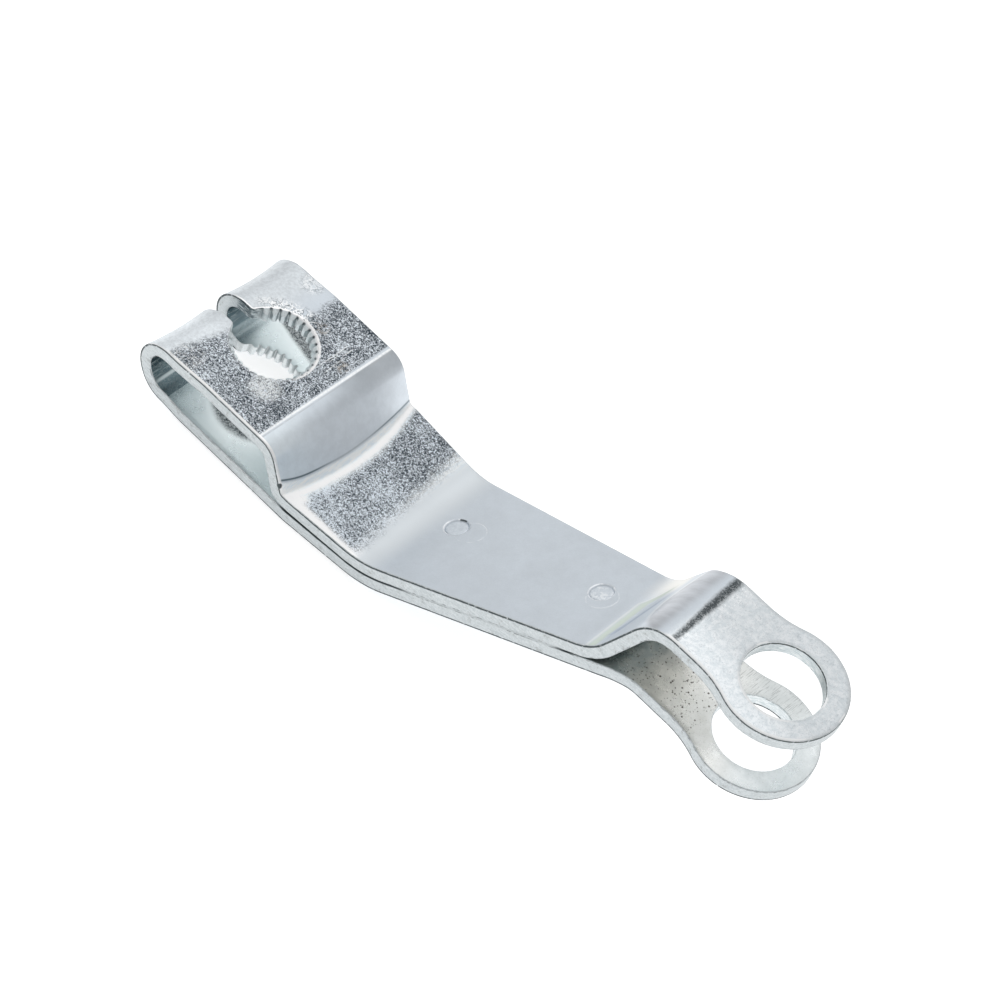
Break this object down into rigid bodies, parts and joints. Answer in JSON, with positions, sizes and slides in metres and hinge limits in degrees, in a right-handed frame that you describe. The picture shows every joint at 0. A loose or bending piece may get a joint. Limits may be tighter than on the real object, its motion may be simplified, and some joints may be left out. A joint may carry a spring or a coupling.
{
  "type": "brake arm",
  "caption": "Zinc-plated brake cam lever, folded from one strip of sheet steel: a serrated, slotted clamp for the cam shaft at one end and a raised fork with aligned eyes at the other.",
  "frame": {"origin": "on the cam shaft's axis, at the underside of the lower leaf, which is the clamp's bottom face", "axes": "+Z along the cam shaft, out of the clamp's top face; +X from the clamp to the fork; +Y across the arm, along the pinch bolt"},
  "size_m": [0.106, 0.0254, 0.0333],
  "materials": {
    "zinc_plated_steel": "bright blue-white zinc plating with coarse spangle",
    "weld_metal": "zinc plated, dimpled by the electrode"
  },
  "bodies": {
    "root": {"folded_strip": "zinc_plated_steel", "front_weld": "weld_metal", "rear_weld": "weld_metal"}
  },
  "joints": []
}
